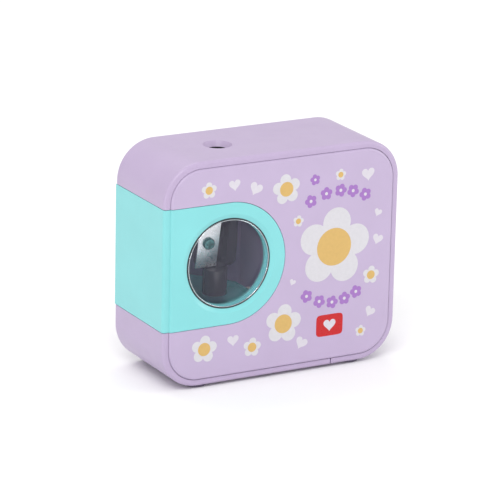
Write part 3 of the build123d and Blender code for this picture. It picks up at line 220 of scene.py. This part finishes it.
def clear_plastic():
    """Thin clear shell: mostly passes light, and mirrors more the flatter it is looked at."""
    surface = Surface("clear_window_plastic", Metallic=1.0)
    haze = surface.noise(0.006, detail=4.0)
    surface.colour(surface.mix_colour(haze, (0.62, 0.74, 0.95, 1.0), (0.88, 0.80, 1.0, 1.0)))
    surface.roughness(surface.spread(haze, 0.01, 0.04))
    flow = surface.noise(0.009, detail=1.0)
    surface.bump(flow, 0.000003)
    rise = surface.add("ShaderNodeMath", operation="POWER")
    surface.link(surface.add("ShaderNodeLayerWeight").outputs["Facing"], rise.inputs[0])
    rise.inputs[1].default_value = 3.5
    cover = surface.spread(rise.outputs["Value"], 0.03, 1.0, start=0.0, end=1.0)
    surface.link(cover, surface.shader.inputs["Alpha"])
    return surface.material


MATERIALS = {
    "rear_shell": shell_plastic,
    "pencil_guide": black_plastic,
    "front_panel": panel_plastic,
    "battery_door": shell_plastic,
    "feet": foot_rubber,
    "drawer": drawer_plastic,
    "window_lens": clear_plastic(),
    "case_screws": plain_steel,
    "gearbox_base": gearbox_plastic,
    "gearbox_cover": gearbox_plastic,
    "gearbox_screws": plain_steel,
    "gear_axles": plain_steel,
    "first_reduction_gear": gear_plastic,
    "second_reduction_gear": gear_plastic,
    "cutter_gear": gear_plastic,
    "blade_holder": holder_plastic,
    "blade": ground_steel,
    "blade_screw": screw_steel_teal_reflection,
    "thrust_washer": nickel_strip,
    "return_spring": spring_steel,
    "start_contact_lower": nickel_strip,
    "start_contact_upper": nickel_strip,
    "contact_block": black_plastic,
    "motor_can": zinc_steel,
    "motor_end_cap": black_plastic,
    "motor_magnets": magnet,
    "motor_armature": copper,
    "motor_commutator": copper,
    "motor_brushes": copper,
    "motor_terminals": nickel_strip,
    "motor_shaft": plain_steel,
    "motor_pinion": brass,
    "safety_switch_body": black_plastic,
    "safety_switch_plunger": gear_plastic,
    "safety_switch_terminals": nickel_strip,
    "battery_cells": battery_sleeve,
    "battery_contact_bridge": nickel_strip,
    "battery_contact_positive": nickel_strip,
    "battery_contact_negative": nickel_strip,
    "wire_battery_to_switch": red_wire,
    "wire_switch_to_start": red_wire,
    "wire_start_to_motor": blue_wire,
    "wire_motor_to_battery": black_wire,
}
for name, material in MATERIALS.items():
    mesh = nodes[name].data
    mesh.materials.clear()
    mesh.materials.append(material)


# ---------------------------------------------------------------- dark ring of painted shadow and a polished bead round the window
WINDOW = middle("window_lens")


def turned_ring(name, profile, material):
    """Closed ring about the window's axis. The profile's points are (radius, y) in mm."""
    mesh = bmesh.new()
    rings = []
    steps = 160
    for i in range(steps):
        angle = 2 * math.pi * i / steps
        ring = []
        for radius, y in profile:
            x = WINDOW.x + radius * math.cos(angle)
            z = WINDOW.z + radius * math.sin(angle)
            ring.append(mesh.verts.new((x * MM, y * MM, z * MM)))
        rings.append(ring)
    count = len(profile)
    for i in range(steps):
        for j in range(count):
            k = (j + 1) % count
            first, second = rings[i], rings[(i + 1) % steps]
            mesh.faces.new((first[j], first[k], second[k], second[j])).smooth = True
    add_piece(mesh, name, material, "drawer")


def bead_profile(radius, y, half_width, half_depth):
    """Round bead section in 16 points."""
    turns = [2 * math.pi * i / 16 for i in range(16)]
    return [(radius + half_width * math.cos(a), y + half_depth * math.sin(a)) for a in turns]


# The dark ring is painted shadow: it stands in for the dark gap between the lens and its bore, not
# a rubber seal.
shadow_gap_material = moulded("painted_shadow_gap", srgb(36, 44, 50), 0.3, grain=0.0003)
bright_bead = metal("polished_bead", srgb(226, 232, 234), 0.1)
turned_ring("window_shadow_gap_ring", bead_profile(17.22, -19.2, 0.3, 0.3), shadow_gap_material)
turned_ring("window_bead", bead_profile(16.76, -19.38, 0.13, 0.18), bright_bead)


def return_coil():
    """Two-turn coil in the return spring's box, which rides on the housing and doesn't move down.
    """
    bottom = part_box("return_spring")[0].z / MM
    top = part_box("return_spring")[1].z / MM
    cutter_x = middle("pencil_guide").x
    radius = 6.6
    wire = 0.25
    section = 0.98 * wire
    turns = 2
    steps = 180
    around = 12
    mesh = bmesh.new()
    rings = []
    for i in range(steps + 1):
        share = i / steps
        angle = 2 * math.pi * turns * share
        height = bottom + wire + (top - bottom - 2 * wire) * share
        ring = []
        for j in range(around):
            turn = 2 * math.pi * j / around
            reach = radius + section * math.cos(turn)
            x = cutter_x + reach * math.cos(angle)
            y = reach * math.sin(angle)
            z = height + section * math.sin(turn)
            ring.append(mesh.verts.new((x * MM, y * MM, z * MM)))
        rings.append(ring)
    for first, second in zip(rings, rings[1:]):
        for j in range(around):
            k = (j + 1) % around
            mesh.faces.new((first[j], first[k], second[k], second[j])).smooth = True
    mesh.faces.new(rings[0])
    mesh.faces.new(rings[-1])
    piece = add_piece(mesh, "return_spring_coil", spring_steel, "housing")
    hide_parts("return_spring")
    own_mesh(piece)


return_coil()


# ---------------------------------------------------------------- the printed pattern
FACE_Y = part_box("front_panel")[0].y
PRINT_PROUD = 0.02 * MM
PRINT_DEPTH = 0.04 * MM


def print_layer(name, shapes, material, layer=0):
    """Thin closed plates of ink on the panel's face. Each shape is (x, z, outline) in mm."""
    front = FACE_Y - PRINT_PROUD * (1 + layer)
    back = FACE_Y + PRINT_DEPTH
    mesh = bmesh.new()
    for x, z, outline in shapes:
        rings = []
        for y in (front, back):
            rings.append([mesh.verts.new(((x + u) * MM, y, (z + v) * MM)) for u, v in outline])
        middle_front = mesh.verts.new((x * MM, front, z * MM))
        middle_back = mesh.verts.new((x * MM, back, z * MM))
        count = len(outline)
        for i in range(count):
            j = (i + 1) % count
            mesh.faces.new((middle_front, rings[0][i], rings[0][j]))
            mesh.faces.new((middle_back, rings[1][j], rings[1][i]))
            mesh.faces.new((rings[0][j], rings[0][i], rings[1][i], rings[1][j]))
    add_piece(mesh, name, material, "housing")


def polar(count, radius_at):
    """Closed outline from a radius at each angle."""
    points = []
    for i in range(count):
        angle = 2 * math.pi * i / count
        radius = radius_at(angle)
        points.append((radius * math.cos(angle), radius * math.sin(angle)))
    return points


def petals(reach, turn, fatness=0.64):
    """Outline of five round petals that meet near the middle. Turn is one petal's bearing."""
    offset = reach / (1 + fatness)
    size = offset * fatness
    step = 2 * math.pi / 5

    def radius_at(angle):
        away = (angle - math.radians(turn) + step / 2) % step - step / 2
        under = size**2 - (offset * math.sin(away)) ** 2
        return offset * math.cos(away) + math.sqrt(max(under, 0.0))

    return polar(300, radius_at)


def disc(radius):
    return polar(96, lambda angle: radius)


HEART_SCALE = 1.14


def heart(width, turn=0.0):
    """Outline of a plump heart, turned anticlockwise by degrees."""
    curve_width = 32
    size = width * HEART_SCALE / curve_width
    cos = math.cos(math.radians(turn))
    sin = math.sin(math.radians(turn))
    points = []
    for i in range(120):
        t = 2 * math.pi * i / 120
        x = 16 * math.sin(t) ** 3
        z = 13 * math.cos(t) - 5 * math.cos(2 * t) - 2 * math.cos(3 * t) - math.cos(4 * t) + 2
        points.append(((x * cos - z * sin) * size, (x * sin + z * cos) * size))
    return points


def soft_rectangle(width, height):
    """Outline of a rectangle with rounded corners, as a superellipse."""
    power = 7

    def radius_at(angle):
        across = abs(math.cos(angle) / (width / 2)) ** power
        up = abs(math.sin(angle) / (height / 2)) ** power
        return (across + up) ** (-1 / power)

    return polar(160, radius_at)


# centre x, z, reach of the petals, and the bearing of one petal
DAISIES = [
    (22.0, 48.5, 15.4, 84.0),
    (0.8, 73.6, 5.9, 98.0),
    (0.8, 20.9, 7.7, 84.0),
    (-32.8, 15.6, 5.4, 84.0),
    (-12.4, 13.5, 3.8, 84.0),
    (38.6, 35.2, 3.6, 84.0),
    (-31.9, 77.0, 3.2, 92.0),
    (6.2, 60.5, 2.3, 80.0),
    (24.0, 76.5, 2.3, 84.0),
    (34.8, 13.3, 2.3, 84.0),
]
# centre x, z, width and turn
HEARTS = [
    (-21.2, 77.7, 4.2, 6.0),
    (-12.4, 75.2, 4.8, -28.0),
    (36.0, 75.2, 4.8, 4.0),
    (40.8, 59.6, 3.0, -24.0),
    (41.0, 49.0, 4.0, -20.0),
    (4.3, 36.7, 2.4, -26.0),
    (38.6, 20.4, 4.0, -30.0),
    (8.7, 12.0, 4.6, -30.0),
    (-20.6, 17.2, 4.2, 2.0),
]
# purple sprigs in two arcs round the large daisy: centre x, z, size and turn
SPRIGS = [
    (13.0, 75.8, 2.0, 30.0),
    (11.4, 67.6, 2.4, 40.0),
    (18.0, 69.8, 2.4, 18.0),
    (24.2, 70.4, 2.4, -2.0),
    (29.6, 69.6, 2.4, -20.0),
    (35.0, 67.6, 2.4, -36.0),
    (10.6, 30.4, 2.4, -36.0),
    (16.2, 27.6, 2.4, -18.0),
    (21.8, 26.6, 2.4, 0.0),
    (27.2, 27.4, 2.4, 18.0),
    (32.2, 29.4, 2.4, 36.0),
]

# a yolk as a share of its daisy's reach, and a sprig's petals and centre as shares of its size
YOLK_SHARE = 0.48
SPRIG_REACH = 1.08
SPRIG_CENTRE_SHARE = 0.26

petal_ink = printed("white_ink", srgb(200, 198, 203))
yolk_ink = printed("yellow_ink", srgb(201, 165, 96))
heart_ink = printed("soft_white_ink", srgb(202, 197, 206))
purple_ink = printed("purple_ink", srgb(152, 108, 178))
red_ink = printed("red_ink", srgb(186, 0, 12), roughness=0.3)

print_layer(
    "daisy_petals",
    [(x, z, petals(reach, turn)) for x, z, reach, turn in DAISIES],
    petal_ink,
)
print_layer(
    "daisy_centres",
    [(x, z, disc(reach * YOLK_SHARE)) for x, z, reach, turn in DAISIES],
    yolk_ink,
    layer=1,
)
print_layer("hearts", [(x, z, heart(width, turn)) for x, z, width, turn in HEARTS], heart_ink)
print_layer(
    "purple_sprigs",
    [(x, z, petals(size * SPRIG_REACH, turn, fatness=0.74)) for x, z, size, turn in SPRIGS],
    purple_ink,
)
print_layer(
    "sprig_centres",
    [(x, z, disc(size * SPRIG_CENTRE_SHARE)) for x, z, size, turn in SPRIGS],
    heart_ink,
    layer=1,
)
print_layer("red_patch", [(21.0, 17.6, soft_rectangle(11.6, 8.6))], red_ink)
print_layer("red_patch_heart", [(21.0, 17.5, heart(4.6))], heart_ink, layer=1)

# ---------------------------------------------------------------- floor, light and camera
floor_mesh = bpy.data.meshes.new("floor")
floor_half = 6.0
floor_mesh.from_pydata(
    [
        (-floor_half, -floor_half, 0),
        (floor_half, -floor_half, 0),
        (floor_half, floor_half, 0),
        (-floor_half, floor_half, 0),
    ],
    [],
    [(0, 1, 2, 3)],
)
floor = bpy.data.objects.new("floor", floor_mesh)
bpy.context.scene.collection.objects.link(floor)
paper = Surface("white_paper", Specular_IOR_Level=0.0)
paper_tone = paper.noise(0.02, detail=3.0)
paper.colour(paper.mix_colour(paper_tone, (0.89, 0.89, 0.89, 1), (0.91, 0.91, 0.91, 1)))
floor_mesh.materials.append(paper.material)


def soft_box(name, place, aim, size, watts):
    """Rectangular area light that faces a point."""
    light = bpy.data.lights.new(name, "AREA")
    light.shape = "RECTANGLE"
    light.size, light.size_y = size
    light.energy = watts
    lamp = bpy.data.objects.new(name, light)
    lamp.location = place
    lamp.rotation_mode = "QUATERNION"
    lamp.rotation_quaternion = (Vector(aim) - Vector(place)).to_track_quat("-Z", "Y")
    bpy.context.scene.collection.objects.link(lamp)


soft_box("key", (-0.65, -0.8, 1.1), (0, 0, 0.04), (0.8, 0.6), 9.5)
soft_box("overhead", (0.0, 1.0, 1.5), (0, 1.0, 0), (1.2, 1.2), 8.0)
soft_box("left_strip", (-1.05, -0.58, 0.14), (0, 0, 0.05), (0.14, 0.26), 1.5)
soft_box("right_fill", (1.1, -0.6, 0.5), (0, 0, 0.04), (0.7, 0.7), 4.5)

world = bpy.data.worlds.new("studio")
world.use_nodes = True
world.node_tree.nodes["Background"].inputs["Color"].default_value = (1.0, 1.0, 1.0, 1.0)
world.node_tree.nodes["Background"].inputs["Strength"].default_value = 0.75
bpy.context.scene.world = world
bpy.context.scene.view_settings.view_transform = "Standard"

CAMERA_AZIMUTH = math.radians(-29.17)
CAMERA_ELEVATION = math.radians(17.28)
CAMERA_ROLL = math.radians(1.31)
CAMERA_DISTANCE = 1.2294
CAMERA_AIM = Vector((-0.00286, 0.00035, 0.04469))

back = Vector(
    (
        math.sin(CAMERA_AZIMUTH) * math.cos(CAMERA_ELEVATION),
        -math.cos(CAMERA_AZIMUTH) * math.cos(CAMERA_ELEVATION),
        math.sin(CAMERA_ELEVATION),
    )
)
camera_data = bpy.data.cameras.new("camera")
camera_data.lens = 233.7
camera_data.sensor_width = 36.0
camera_data.clip_start = 0.05
camera_data.clip_end = 50.0
camera = bpy.data.objects.new("camera", camera_data)
camera.location = CAMERA_AIM + back * CAMERA_DISTANCE
camera.rotation_mode = "QUATERNION"
camera.rotation_quaternion = (-back).to_track_quat("-Z", "Y") @ Quaternion((0, 0, 1), CAMERA_ROLL)
bpy.context.scene.collection.objects.link(camera)
bpy.context.scene.camera = camera
